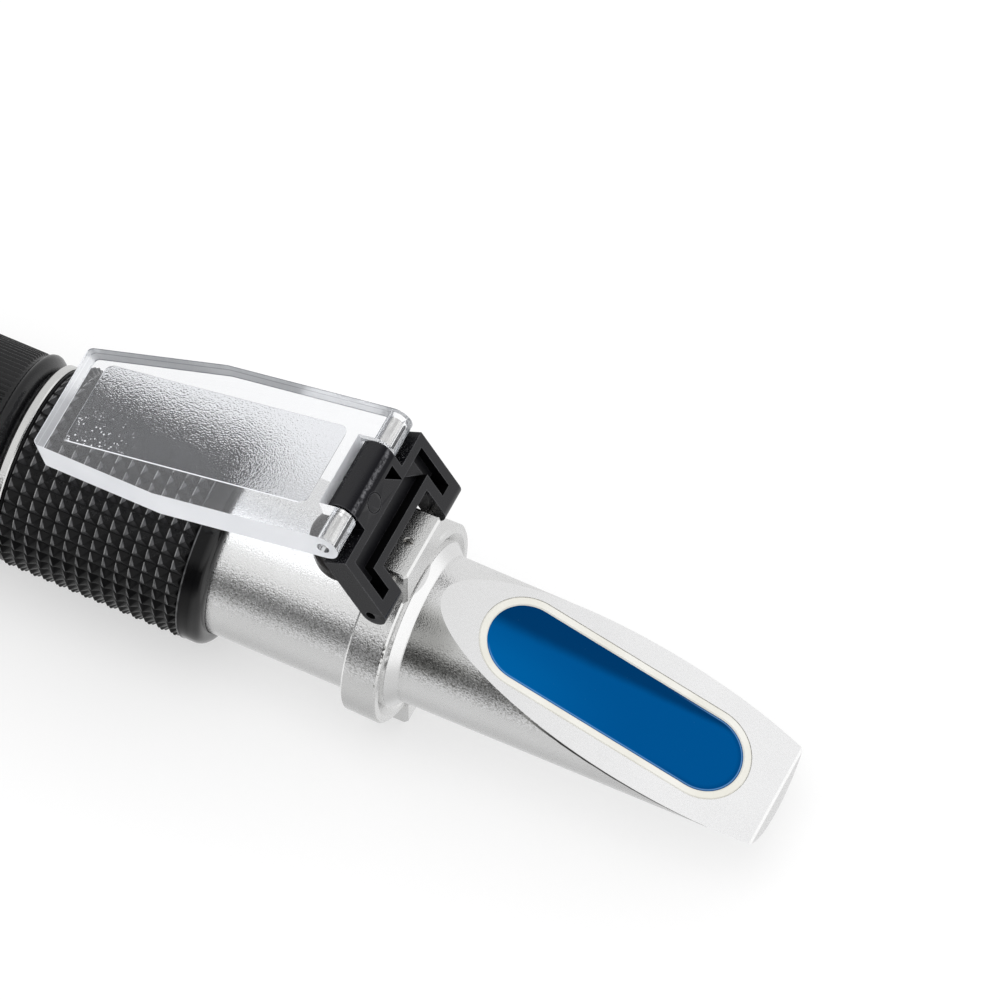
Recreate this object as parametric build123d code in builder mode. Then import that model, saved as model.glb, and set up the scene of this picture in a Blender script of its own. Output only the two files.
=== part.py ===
from build123d import *
import math
import os

# Handheld refractometer.
# +X runs from the eyecup's mouth (x = 0) along the optical axis to the prism tip.
# +Z is up, on the side of the prism face and the hinge. Y is across. Millimetres.
# Outlines of turned pieces are (x, radius) points.

# ---------------------------------------------------------------- driving dimensions
X_NOSE = 109.0            # where the nose's plain cylinder begins
NOSE_LEN = 58.3           # plain nose length, to the tip
NOSE_R = 12.0
NOSE_TIP_R = 11.6
FLANGE_R = 13.53          # conical flange between nose and tube
X_FLANGE = X_NOSE - 1.67
BEVEL_Z = 12.62           # height of the bevel plane above the axis at X_NOSE
BEVEL_ANGLE = 18.5        # fall of the bevel towards the tip, degrees
SPIGOT_R = 11.98          # nose spigot inside the tube
X_SPIGOT = 99.0

WIN_X = 31.0              # window centre, ahead of X_NOSE
WIN_HALF = 22.02          # half length along the bevel
WIN_R = 6.38              # half width
SEAL_W = 1.4
SEAL_DEPTH = 1.5
PRISM_FLOOR = -7.0        # flat underside of the prism

TUBE_R = 13.65
TUBE_BORE = 12.0
X_TUBE_END = 40.0         # rear end of the full-size tube
REAR_BORE = 11.0
X_BORE_STEP = 51.0        # where the rear bore opens to the tube's bore
SPG_R = 12.8              # rear spigot that the focusing ring turns on
X_SPG_END = 23.0

COLLAR_X0, COLLAR_X1 = 101.3, 107.2
COLLAR_R0, COLLAR_R1 = 16.27, 16.42
BLOCK_HALF = 6.1
BLOCK_TOP, BLOCK_FOOT = 22.6, -20.4
BLOCK_FRONT = 107.7

PIVOT = (X_NOSE - 3.93, 0.0, 20.26)    # bracket pivot in the top block
HINGE = (X_NOSE - 11.95, 0.0, 33.60)   # plate hinge, bracket folded back
PIVOT_PIN_R = 0.75
HINGE_PIN_R = 1.0
TILT = 31.0               # backward lean of the bracket, degrees from +Z
PLATE_DROP = 14.7         # fall of the open plate towards the eyepiece, degrees

BR_BACK, BR_FRONT = -1.6, 2.6    # back and front faces, from the pivot
POCKET, LEG_POCKET = 1.73, 3.4   # depth of the web's pocket and of its ends in the legs
LEG_IN, LEG_OUT = 7.45, 12.95
WEB0, WEB1 = 5.4, 12.4
NECK_HALF = 6.3
BARREL_R = 2.6

PLATE_HALF = 12.7
PLATE_LEN = 51.8
PLATE_TOP, PLATE_BOT = 2.7, -2.4
EAR_IN = 6.75

GRIP_X0, GRIP_X1 = 42.05, 77.2
GRIP_R = 16.2
GRIP_BEAD = 4.1
GRIP_PITCH = 2.18
GRIP_GROOVES = 14

CAP_X, CAP_R = X_NOSE - 14.0, 5.5

FOCUS_PIN_X, FOCUS_PIN_R = 31.0, 0.9
O_RING_X = 38.0
FOCUS_LEAD = 6.0          # ocular travel per turn of the focusing ring
FOCUS_TURN = 150.0        # ring turns this far each way

ACROSS = 20               # reach of cuts and trims made right across, each way in Y

os.makedirs("parts", exist_ok=True)


# ---------------------------------------------------------------- frames
bevel_rad = math.radians(BEVEL_ANGLE)
drop_rad = math.radians(PLATE_DROP)
tilt_rad = math.radians(TILT)


def bevel_z(x):
    """Height of the bevel plane at x ahead of X_NOSE."""
    return BEVEL_Z - math.tan(bevel_rad) * x


BEVEL_PLANE = Plane(
    origin=(X_NOSE + WIN_X, 0, bevel_z(WIN_X)),
    x_dir=(math.cos(bevel_rad), 0, -math.sin(bevel_rad)),
    z_dir=(math.sin(bevel_rad), 0, math.cos(bevel_rad)),
)

# bracket directions: up the legs, and out of the front face
BR_UP = Vector(-math.sin(tilt_rad), 0, math.cos(tilt_rad))
BR_OUT = Vector(math.cos(tilt_rad), 0, math.sin(tilt_rad))
BR_SIDE = Plane(origin=PIVOT, x_dir=BR_OUT, z_dir=(0, -1, 0))  # local y = up the legs
HINGE_UP = (Vector(*HINGE) - Vector(*PIVOT)).dot(BR_UP)
HINGE_OUT = (Vector(*HINGE) - Vector(*PIVOT)).dot(BR_OUT)

# plate directions: along it away from the hinge, and out of its prism-facing side
PLATE_ALONG = Vector(-math.cos(drop_rad), 0, -math.sin(drop_rad))
PLATE_OUT = Vector(-math.sin(drop_rad), 0, math.cos(drop_rad))
PLATE_SIDE = Plane(origin=HINGE, x_dir=PLATE_ALONG, z_dir=(0, 1, 0))


def bracket_plane(out):
    """Plane along the bracket: local x = +Y, local y = up the legs."""
    return Plane(origin=Vector(*PIVOT) + BR_OUT * out, x_dir=(0, 1, 0), z_dir=BR_OUT)


def plate_plane(out=0.0):
    """Plane along the plate: local x = away from the hinge."""
    return Plane(origin=Vector(*HINGE) + PLATE_OUT * out, x_dir=PLATE_ALONG, z_dir=PLATE_OUT)


def cross_plane(x):
    """Plane across the optical axis at x: local x = Y, local y = Z, normal = +X."""
    return Plane(origin=(x, 0, 0), x_dir=(0, 1, 0), z_dir=(1, 0, 0))


def dome(x_vertex, radius, height):
    """Point on a spherical lens surface at a height from the axis (radius < 0 bulges to -X)."""
    sagitta_end = math.copysign(math.sqrt(radius ** 2 - height ** 2), radius)
    return (x_vertex - radius + sagitta_end, height)


# ---------------------------------------------------------------- shared builders
def finish(piece, label):
    """Label a piece and write its STEP file."""
    piece.part.label = label
    export_step(piece.part, f"parts/{label}.step")


def turned_piece(label, outline):
    """Piece turned about the optical axis from a closed outline."""
    with BuildPart() as piece:
        with BuildSketch(Plane.XZ):
            with BuildLine():
                Polyline(*outline, close=True)
            make_face()
        revolve(axis=Axis.X)
    finish(piece, label)


def plain_ring(label, x, length, outer, bore=None):
    """Plain ring, or disc when it has no bore, running forward from x."""
    with BuildPart() as piece:
        with BuildSketch(cross_plane(x)):
            Circle(outer)
            if bore:
                Circle(bore, mode=Mode.SUBTRACT)
        extrude(amount=length)
    finish(piece, label)


def upright_pin(label, x, z, radius, length):
    """Plain pin standing up from z."""
    with BuildPart() as piece:
        with BuildSketch(Plane.XY.offset(z)):
            with Locations((x, 0)):
                Circle(radius)
        extrude(amount=length)
    finish(piece, label)


def cross_pin(label, place, radius, half_length, break_edge):
    """Pin along Y, at a place in the bracket's side plane, with broken ends."""
    with BuildPart() as piece:
        with BuildSketch(BR_SIDE):
            with Locations(place):
                Circle(radius)
        extrude(amount=half_length, both=True)
        chamfer(piece.edges().filter_by(GeomType.CIRCLE), break_edge)
    finish(piece, label)


def window_block(lift, gap, x_rear, floor):
    """Window-shaped block sunk square to the bevel, trimmed to a rear face and a flat floor."""
    x_front, top = X_NOSE + 70, 40
    with BuildPart() as piece:
        with BuildSketch(BEVEL_PLANE.offset(lift)):
            SlotOverall(2 * (WIN_HALF + gap), 2 * (WIN_R + gap))
        extrude(amount=-26)
        with BuildSketch(Plane.XZ):
            with BuildLine():
                Polyline((x_rear, floor), (x_front, floor), (x_front, top), (x_rear, top),
                         close=True)
            make_face()
        extrude(amount=ACROSS, both=True, mode=Mode.INTERSECT)
    return piece


# ---------------------------------------------------------------- nose, prism and seal
PRISM_GAP = 0.03          # clearance round the prism in its pocket
SEAL_GAP = 0.02           # clearance on each side of the seal
SEAL_PROUD = 0.06         # how far the seal stands above the bevel
TIP_BREAK = 0.12
X_PASSAGE_STEP = X_NOSE + 6.0

# the pocket's rear limit lies clear behind the window
prism_pocket = window_block(lift=0.5, gap=PRISM_GAP, x_rear=60, floor=PRISM_FLOOR - PRISM_GAP)

with BuildPart() as prism_housing:
    with BuildSketch(Plane.XZ):
        with BuildLine():
            x_tip = X_NOSE + NOSE_LEN
            Polyline(
                (X_SPIGOT, 0), (X_SPIGOT, SPIGOT_R), (X_FLANGE, SPIGOT_R), (X_FLANGE, FLANGE_R),
                (X_NOSE, NOSE_R), (x_tip - TIP_BREAK, NOSE_TIP_R),
                (x_tip, NOSE_TIP_R - TIP_BREAK), (x_tip, 0), close=True,
            )
        make_face()
    revolve(axis=Axis.X)
    # the bevel, with a small break at the tip edge
    with BuildSketch(Plane.XZ):
        with BuildLine():
            bevel_end = NOSE_LEN - 0.35
            Polyline(
                (X_NOSE - 20, bevel_z(-20)), (X_NOSE + bevel_end, bevel_z(bevel_end)),
                (x_tip + 1, bevel_z(bevel_end) - 1.5), (x_tip + 1, 60),
                (X_NOSE - 20, 60), close=True,
            )
        make_face()
    extrude(amount=ACROSS, both=True, mode=Mode.SUBTRACT)
    # seat of the sealing ring
    with BuildSketch(BEVEL_PLANE.offset(1)):
        SlotOverall(2 * (WIN_HALF + SEAL_W), 2 * (WIN_R + SEAL_W))
    extrude(amount=-(SEAL_DEPTH + 1), mode=Mode.SUBTRACT)
    add(prism_pocket.part, mode=Mode.SUBTRACT)
    # light passage from the tube to the prism's exit face
    with BuildSketch(cross_plane(X_SPIGOT)):
        Circle(8.0)
    extrude(amount=X_PASSAGE_STEP + 0.5 - X_SPIGOT, mode=Mode.SUBTRACT)
    with BuildSketch(cross_plane(X_PASSAGE_STEP)):
        Circle(6.0)
    extrude(amount=7, mode=Mode.SUBTRACT)
finish(prism_housing, "prism_housing")

prism = window_block(lift=-0.12, gap=0, x_rear=X_NOSE + 7.6, floor=PRISM_FLOOR)
finish(prism, "prism")


def is_seal_top_edge(edge):
    return abs(BEVEL_PLANE.to_local_coords(edge.center()).Z - SEAL_PROUD) < 0.01


with BuildPart() as prism_seal:
    with BuildSketch(BEVEL_PLANE.offset(SEAL_PROUD)):
        SlotOverall(2 * (WIN_HALF + SEAL_W - SEAL_GAP), 2 * (WIN_R + SEAL_W - SEAL_GAP))
        SlotOverall(2 * (WIN_HALF + SEAL_GAP), 2 * (WIN_R + SEAL_GAP), mode=Mode.SUBTRACT)
    extrude(amount=-(SEAL_DEPTH + 0.04))
    chamfer(prism_seal.edges().filter_by(is_seal_top_edge), 0.2)
finish(prism_seal, "prism_seal")

# ---------------------------------------------------------------- hinge collar and its screws
COLLAR_BREAK = 0.3
BLOCK_ROOT = 14.2         # height from the axis where both blocks sink into the ring
COLLAR_SEAT_R = TUBE_R + 0.02
COLLAR_SCREWS = ((104.4, -3.2), (104.4, 3.2))
COLLAR_SCREW_HEAD = -19.0
GRUB_FOOT = PIVOT_PIN_R + 0.03    # grub screw's ends, above the pivot
GRUB_TOP = 2.13


def is_block_front_corner(edge):
    centre = edge.center()
    return abs(abs(centre.Y) - BLOCK_HALF) < 1e-3 and abs(centre.X - BLOCK_FRONT) < 1e-3


with BuildPart() as hinge_collar:
    with BuildSketch(Plane.XZ):
        with BuildLine():
            Polyline(
                (COLLAR_X0, COLLAR_SEAT_R), (COLLAR_X0, COLLAR_R0 - COLLAR_BREAK),
                (COLLAR_X0 + COLLAR_BREAK, COLLAR_R0), (COLLAR_X1 - COLLAR_BREAK, COLLAR_R1),
                (COLLAR_X1, COLLAR_R1 - COLLAR_BREAK), (COLLAR_X1, 15.0),
                (COLLAR_X1 - 1.0, COLLAR_SEAT_R), close=True,
            )
        make_face()
    revolve(axis=Axis.X)
    # hinge block above and matching rest block below
    for end_z, height in ((BLOCK_TOP, -(BLOCK_TOP - BLOCK_ROOT)),
                          (BLOCK_FOOT, -BLOCK_FOOT - BLOCK_ROOT)):
        with BuildSketch(Plane.XY.offset(end_z)):
            with Locations(((COLLAR_X0 + BLOCK_FRONT) / 2, 0)):
                Rectangle(BLOCK_FRONT - COLLAR_X0, 2 * BLOCK_HALF)
        extrude(amount=height)
    chamfer(hinge_collar.edges().filter_by(is_block_front_corner), 0.5)
    chamfer(hinge_collar.faces().sort_by(Axis.Z)[-1].edges(), 0.35)
    chamfer(hinge_collar.faces().sort_by(Axis.Z)[0].edges(), 0.35)
    # the tube's seat, and the turned step that leaves the blocks proud of the ring
    with BuildSketch(cross_plane(COLLAR_X0 - 1)):
        Circle(COLLAR_SEAT_R)
    extrude(amount=10, mode=Mode.SUBTRACT)
    with BuildSketch(cross_plane(COLLAR_X1)):
        Circle(COLLAR_R1 + 0.02)
    extrude(amount=3, mode=Mode.SUBTRACT)
    # pivot pin hole, grub screw hole above it, two collar screws from below
    with BuildSketch(Plane.XZ):
        with Locations((PIVOT[0], PIVOT[2])):
            Circle(PIVOT_PIN_R + 0.01)
    extrude(amount=ACROSS, both=True, mode=Mode.SUBTRACT)
    with BuildSketch(Plane.XY.offset(PIVOT[2])):
        with Locations((PIVOT[0], 0)):
            Circle(0.8)
    extrude(amount=5, mode=Mode.SUBTRACT)
    with BuildSketch(Plane.XY.offset(-13.0)):
        with Locations(*COLLAR_SCREWS):
            Circle(1.0)
    extrude(amount=-10, mode=Mode.SUBTRACT)
finish(hinge_collar, "hinge_collar")

with BuildPart() as collar_set_screws:
    with BuildSketch(Plane.XY.offset(COLLAR_SCREW_HEAD + 5.0)):
        with Locations(*COLLAR_SCREWS):
            Circle(0.98)
    extrude(amount=-5.0)
    # hexagon sockets
    with BuildSketch(Plane.XY.offset(COLLAR_SCREW_HEAD)):
        with Locations(*COLLAR_SCREWS):
            RegularPolygon(0.55, 6)
    extrude(amount=1.2, mode=Mode.SUBTRACT)
finish(collar_set_screws, "collar_set_screws")

with BuildPart() as pivot_grub_screw:
    with BuildSketch(Plane.XY.offset(PIVOT[2] + GRUB_FOOT)):
        with Locations((PIVOT[0], 0)):
            Circle(0.78)
    extrude(amount=GRUB_TOP - GRUB_FOOT)
    # driver slot
    with BuildSketch(Plane.XY.offset(PIVOT[2] + GRUB_TOP)):
        with Locations((PIVOT[0], 0)):
            Rectangle(2, 0.3)
    extrude(amount=-0.5, mode=Mode.SUBTRACT)
finish(pivot_grub_screw, "pivot_grub_screw")

# ---------------------------------------------------------------- bracket, its pin and hinge pin
BR_DEPTH = BR_FRONT - BR_BACK
HINGE_PLACE = (HINGE_OUT, HINGE_UP)
# pocket edges: y half widths, and heights up the legs
POCKET_OUT, POCKET_IN = 11.3, 9.2
POCKET_FOOT, POCKET_WEB, POCKET_TOP = 1.9, 6.9, 10.8
LEG_POCKET_TOP = 4.5

with BuildPart() as bracket:
    with BuildSketch(bracket_plane(BR_BACK)):
        # side legs and web
        with BuildLine():
            Polyline(
                (-LEG_OUT, 0), (-LEG_OUT, WEB1), (LEG_OUT, WEB1), (LEG_OUT, 0),
                (LEG_IN, 0), (LEG_IN, WEB0), (-LEG_IN, WEB0), (-LEG_IN, 0), close=True,
            )
        make_face()
        # neck
        with Locations((0, (WEB1 + HINGE_UP) / 2)):
            Rectangle(2 * NECK_HALF, HINGE_UP - WEB1)
    extrude(amount=BR_DEPTH)
    # round toes about the pivot, -Y leg then +Y leg
    for toe_start in (LEG_IN, -LEG_OUT):
        with BuildSketch(BR_SIDE.offset(toe_start)):
            with Locations(((BR_FRONT + BR_BACK) / 2, 0)):
                Circle(BR_DEPTH / 2)
        extrude(amount=LEG_OUT - LEG_IN)
    # barrel for the hinge pin
    with BuildSketch(BR_SIDE):
        with Locations(HINGE_PLACE):
            Circle(BARREL_R)
    extrude(amount=NECK_HALF, both=True)
    # pocket in the front face, leaving thin walls, deeper down the legs
    with BuildSketch(bracket_plane(BR_FRONT)):
        with BuildLine():
            Polyline(
                (-POCKET_OUT, POCKET_FOOT), (-POCKET_IN, POCKET_FOOT), (-POCKET_IN, POCKET_WEB),
                (POCKET_IN, POCKET_WEB), (POCKET_IN, POCKET_FOOT), (POCKET_OUT, POCKET_FOOT),
                (POCKET_OUT, POCKET_TOP), (-POCKET_OUT, POCKET_TOP), close=True,
            )
        make_face()
    extrude(amount=-POCKET, mode=Mode.SUBTRACT)
    with BuildSketch(bracket_plane(BR_FRONT)):
        leg_y = (POCKET_OUT + POCKET_IN) / 2
        leg_up = (POCKET_FOOT + LEG_POCKET_TOP) / 2
        with Locations((-leg_y, leg_up), (leg_y, leg_up)):
            Rectangle(POCKET_OUT - POCKET_IN, LEG_POCKET_TOP - POCKET_FOOT)
    extrude(amount=-LEG_POCKET, mode=Mode.SUBTRACT)
    # triangular pocket on the +Y side of the neck
    with BuildSketch(bracket_plane(BR_FRONT)):
        with BuildLine():
            Polyline((4.85, 10.9), (4.85, 14.2), (2.2, 14.2), close=True)
        make_face()
    extrude(amount=-2.7, mode=Mode.SUBTRACT)
    # diagonal stiffener at the +Y end of the web pocket
    with BuildSketch(bracket_plane(BR_FRONT - 0.9)):
        with BuildLine():
            Polyline((9.25, 6.78), (9.25, 10.86), (5.14, 10.86), close=True)
        make_face()
    extrude(amount=-1.2)
    # shallow ring groove in the neck's front face
    with BuildSketch(bracket_plane(BR_FRONT)):
        with Locations((-1.9, 13.5)):
            Circle(1.65)
            Circle(1.48, mode=Mode.SUBTRACT)
    extrude(amount=-0.12, mode=Mode.SUBTRACT)
    # pin holes
    for place, hole_r in (((0, 0), PIVOT_PIN_R + 0.04), (HINGE_PLACE, HINGE_PIN_R + 0.005)):
        with BuildSketch(BR_SIDE):
            with Locations(place):
                Circle(hole_r)
        extrude(amount=ACROSS, both=True, mode=Mode.SUBTRACT)
finish(bracket, "bracket")

cross_pin("bracket_pivot_pin", (0, 0), PIVOT_PIN_R, half_length=11.6, break_edge=0.15)
cross_pin("hinge_pin", HINGE_PLACE, HINGE_PIN_R, half_length=12.0, break_edge=0.2)

# ---------------------------------------------------------------- clear daylight plate
PLATE_RAKE = 0.4          # how far the free end slopes back through the thickness
TAPER_START = 29.0
PLATE_END_HALF = 9.5
NOTCH_END = 3.0
FIELD_START, FIELD_END = 5.0, 47.4


def is_free_corner(edge):
    local = plate_plane().to_local_coords(edge.center())
    return abs(local.X - (PLATE_LEN - PLATE_RAKE / 2)) < 0.3 and abs(local.Y) > 8


with BuildPart() as daylight_plate:
    with BuildSketch(PLATE_SIDE):
        with BuildLine():
            Line((0, PLATE_TOP), (PLATE_LEN, PLATE_TOP))
            Line((PLATE_LEN, PLATE_TOP), (PLATE_LEN - PLATE_RAKE, PLATE_BOT))
            Line((PLATE_LEN - PLATE_RAKE, PLATE_BOT), (0, PLATE_BOT))
            ThreePointArc(
                (0, PLATE_BOT),
                (-(PLATE_TOP - PLATE_BOT) / 2, (PLATE_TOP + PLATE_BOT) / 2),
                (0, PLATE_TOP),
            )
        make_face()
    extrude(amount=PLATE_HALF, both=True)
    # straight sides, then a taper to the narrower free end
    with BuildSketch(plate_plane(PLATE_BOT - 1)):
        with BuildLine():
            Polyline(
                (-5, -PLATE_HALF), (TAPER_START, -PLATE_HALF), (PLATE_LEN, -PLATE_END_HALF),
                (PLATE_LEN, PLATE_END_HALF), (TAPER_START, PLATE_HALF), (-5, PLATE_HALF),
                close=True,
            )
        make_face()
    extrude(amount=10, mode=Mode.INTERSECT)
    fillet(daylight_plate.edges().filter_by(is_free_corner), 0.9)
    # notch between the ears
    with BuildSketch(plate_plane(PLATE_BOT - 1)):
        with BuildLine():
            Polyline((-5, -EAR_IN), (NOTCH_END, -EAR_IN), (NOTCH_END, EAR_IN), (-5, EAR_IN),
                     close=True)
        make_face()
    extrude(amount=10, mode=Mode.SUBTRACT)
    # shallow recess of the frosted field
    with BuildSketch(plate_plane(PLATE_TOP)):
        with Locations(((FIELD_START + FIELD_END) / 2, 0)):
            RectangleRounded(FIELD_END - FIELD_START, 15.0, 1.4)
    extrude(amount=-0.2, mode=Mode.SUBTRACT)
    # hinge pin hole
    with BuildSketch(PLATE_SIDE):
        Circle(HINGE_PIN_R + 0.05)
    extrude(amount=ACROSS, both=True, mode=Mode.SUBTRACT)
finish(daylight_plate, "daylight_plate")

# ---------------------------------------------------------------- main tube
BUSH_HOLE_R = 3.5
X_TUBE_FRONT = X_FLANGE - 0.02

with BuildPart() as main_tube:
    with BuildSketch(Plane.XZ):
        with BuildLine():
            Polyline(
                (X_SPG_END, REAR_BORE), (X_SPG_END, SPG_R - 0.3), (X_SPG_END + 0.3, SPG_R),
                (X_TUBE_END, SPG_R), (X_TUBE_END, TUBE_R), (X_TUBE_FRONT, TUBE_R),
                (X_TUBE_FRONT, TUBE_BORE), (X_BORE_STEP, TUBE_BORE), (X_BORE_STEP, REAR_BORE),
                close=True,
            )
        make_face()
    revolve(axis=Axis.X)
    # hole for the calibration screw's bush
    with BuildSketch(Plane.XY.offset(8)):
        with Locations((CAP_X, 0)):
            Circle(BUSH_HOLE_R)
    extrude(amount=10, mode=Mode.SUBTRACT)
    # straight slot that keeps the ocular from turning
    with BuildSketch(Plane.XY.offset(9)):
        with Locations((FOCUS_PIN_X, 0)):
            SlotOverall(7.4, 1.9)
    extrude(amount=6, mode=Mode.SUBTRACT)
    # groove for the friction ring
    with BuildSketch(Plane.XZ):
        with BuildLine():
            groove_x0, groove_x1 = O_RING_X - 0.6, O_RING_X + 0.6
            Polyline((groove_x0, 12.1), (groove_x1, 12.1), (groove_x1, 13.2), (groove_x0, 13.2),
                     close=True)
        make_face()
    revolve(axis=Axis.X, mode=Mode.SUBTRACT)
finish(main_tube, "main_tube")

# ---------------------------------------------------------------- calibration screw group
BUSH_SEAT_Z = 12.5        # floor of the bush's recess for the screw head
HEAD_FOOT_Z = BUSH_SEAT_Z + 0.03
HEAD_H = 1.2
CAP_TOP_Z = 15.6

with BuildPart() as screw_bush:
    with BuildSketch(Plane.XY.offset(12.05)):
        with Locations((CAP_X, 0)):
            Circle(BUSH_HOLE_R - 0.02)
            Circle(1.05, mode=Mode.SUBTRACT)
    extrude(amount=0.75)
    with BuildSketch(Plane.XY.offset(BUSH_SEAT_Z)):
        with Locations((CAP_X, 0)):
            Circle(2.1)
    extrude(amount=2, mode=Mode.SUBTRACT)
finish(screw_bush, "screw_bush")

with BuildPart() as calibration_screw:
    # shank, then head: foot height, radius, length
    for foot_z, radius, length in ((9.2, 1.0, 3.4), (HEAD_FOOT_Z, 2.05, HEAD_H)):
        with BuildSketch(Plane.XY.offset(foot_z)):
            with Locations((CAP_X, 0)):
                Circle(radius)
        extrude(amount=length)
    # driver slot
    with BuildSketch(Plane.XY.offset(HEAD_FOOT_Z + HEAD_H)):
        with Locations((CAP_X, 0)):
            Rectangle(6, 0.5)
    extrude(amount=-0.6, mode=Mode.SUBTRACT)
finish(calibration_screw, "calibration_screw")

with BuildPart() as calibration_cap:
    with BuildSketch(Plane.XZ):
        with BuildLine():
            Polyline((CAP_X, 11), (CAP_X + CAP_R, 11), (CAP_X + CAP_R, 14.3))
            ThreePointArc((CAP_X + CAP_R, 14.3), (CAP_X + 4.6, 15.25), (CAP_X + 3.4, CAP_TOP_Z))
            Line((CAP_X + 3.4, CAP_TOP_Z), (CAP_X, CAP_TOP_Z))
            Line((CAP_X, CAP_TOP_Z), (CAP_X, 11))
        make_face()
    revolve(axis=Axis(origin=(CAP_X, 0, 0), direction=(0, 0, 1)))
    # saddle that sits on the tube
    with BuildSketch(cross_plane(CAP_X - 10)):
        Circle(TUBE_R + 0.02)
    extrude(amount=20, mode=Mode.SUBTRACT)
    # plug that enters the tube's hole round the screw head
    with BuildSketch(Plane.XY.offset(12.85)):
        with Locations((CAP_X, 0)):
            Circle(BUSH_HOLE_R - 0.04)
    extrude(amount=1.5)
    with BuildSketch(Plane.XY.offset(12)):
        with Locations((CAP_X, 0)):
            Circle(2.3)
    extrude(amount=2.4, mode=Mode.SUBTRACT)
finish(calibration_cap, "calibration_cap")

# ---------------------------------------------------------------- lens cradle and objective
CRADLE_X = 88.0
CRADLE_BORE = 8.6
STRIP_SCREW_X = 90.0
OBJECTIVE_R = 7.57        # lens and its retainer
CELL_BORE = 7.6

with BuildPart() as lens_cradle:
    with BuildSketch(cross_plane(CRADLE_X)):
        Circle(11.4)
        Circle(CRADLE_BORE, mode=Mode.SUBTRACT)
    extrude(amount=10.4)
    # calibration screw hole above, spring pocket below
    with BuildSketch(Plane.XY.offset(8)):
        with Locations((CAP_X, 0)):
            Circle(1.05)
    extrude(amount=5, mode=Mode.SUBTRACT)
    with BuildSketch(Plane.XY.offset(-12)):
        with Locations((CAP_X, 0)):
            Circle(1.7)
    extrude(amount=2.4, mode=Mode.SUBTRACT)
    # seat of the compensating strip, and its screw hole
    with BuildSketch(cross_plane(CRADLE_X)):
        with Locations((0, -9.85)):
            Rectangle(5.1, 0.84)
    extrude(amount=4.0, mode=Mode.SUBTRACT)
    with BuildSketch(Plane.XY.offset(-12)):
        with Locations((STRIP_SCREW_X, 0)):
            Circle(0.82)
    extrude(amount=4, mode=Mode.SUBTRACT)
finish(lens_cradle, "lens_cradle")

with BuildPart() as cradle_spring:
    with BuildLine() as coil:
        Helix(pitch=0.62, height=1.8, radius=1.15, center=(CAP_X, 0, -11.62))
    with BuildSketch(Plane(origin=coil.line @ 0, z_dir=coil.line % 0)):
        Circle(0.16)
    sweep(is_frenet=True)
finish(cradle_spring, "cradle_spring")

with BuildPart() as bimetal_strip:
    with BuildSketch(Plane.XY.offset(-10.25)):
        with Locations((81.0, 0)):
            Rectangle(22.0, 5.0)
        with Locations((STRIP_SCREW_X, 0)):
            Circle(0.82, mode=Mode.SUBTRACT)
    extrude(amount=0.8)
finish(bimetal_strip, "bimetal_strip")

upright_pin("strip_screw", STRIP_SCREW_X, z=-11.3, radius=0.8, length=2.65)

turned_piece("objective_cell", (
    (88.4, CELL_BORE), (88.4, CRADLE_BORE - 0.03), (98.0, CRADLE_BORE - 0.03),
    (98.0, 6.8), (94.5, 6.8), (94.5, CELL_BORE),
))

with BuildPart() as objective_lens:
    with BuildSketch(Plane.XZ):
        with BuildLine():
            vertex, curve_r = 95.8, 18.0
            rim = dome(vertex, curve_r, OBJECTIVE_R)
            Polyline((vertex, 0), (91.6, 0), (91.6, OBJECTIVE_R), rim)
            ThreePointArc(rim, dome(vertex, curve_r, 4.0), (vertex, 0))
        make_face()
    revolve(axis=Axis.X)
finish(objective_lens, "objective_lens")

plain_ring("objective_retainer", x=89.2, length=2.1, outer=OBJECTIVE_R, bore=6.6)

# ---------------------------------------------------------------- stop and reticle
INSERT_R = TUBE_BORE - 0.03
X_RETICLE_CELL = X_BORE_STEP + 0.03
X_RETICLE = 55.5          # shoulder that the reticle rests on
RETICLE_SEAT_R = 10.45
RETICLE_R = RETICLE_SEAT_R - 0.03
RETICLE_VIEW_R = 9.2

turned_piece("light_baffle", (
    (64, 11.3), (64, INSERT_R), (68, INSERT_R), (68, 6.2), (67, 6.2), (67, 11.3),
))
turned_piece("reticle_cell", (
    (X_RETICLE_CELL, RETICLE_VIEW_R), (X_RETICLE_CELL, INSERT_R), (60, INSERT_R),
    (60, RETICLE_SEAT_R), (X_RETICLE, RETICLE_SEAT_R), (X_RETICLE, RETICLE_VIEW_R),
))
plain_ring("reticle", x=X_RETICLE + 0.02, length=1.0, outer=RETICLE_R)
plain_ring("reticle_retainer", x=X_RETICLE + 1.04, length=2.2, outer=RETICLE_R,
           bore=RETICLE_VIEW_R)

# ---------------------------------------------------------------- grip and lock ring
GRIP_BORE = TUBE_R + 0.03
BEAD_X = GRIP_X1 - GRIP_BEAD
BEAD_R = GRIP_R - 0.1
GROOVE_HALF, GROOVE_DEPTH = 0.62, 0.9

with BuildPart() as grip_sleeve:
    with BuildSketch(Plane.XZ):
        with BuildLine():
            Polyline(
                (GRIP_X1 - 1.5, BEAD_R), (BEAD_X, BEAD_R), (BEAD_X, GRIP_R),
                (GRIP_X0 + 0.4, GRIP_R), (GRIP_X0, GRIP_R - 0.4), (GRIP_X0, GRIP_BORE),
                (GRIP_X1, GRIP_BORE), (GRIP_X1, GRIP_R - 1.6),
            )
            ThreePointArc((GRIP_X1, GRIP_R - 1.6), (GRIP_X1 - 0.44, GRIP_R - 0.54),
                          (GRIP_X1 - 1.5, BEAD_R))
        make_face()
    revolve(axis=Axis.X)
    # V grooves round the sleeve, one pitch apart
    with BuildSketch(Plane.XZ):
        for i in range(GRIP_GROOVES):
            x = BEAD_X - GRIP_PITCH * i
            with BuildLine():
                Polyline((x - GROOVE_HALF, GRIP_R + 0.02), (x, GRIP_R - GROOVE_DEPTH),
                         (x + GROOVE_HALF, GRIP_R + 0.02), close=True)
            make_face()
    revolve(axis=Axis.X, mode=Mode.SUBTRACT)
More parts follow.
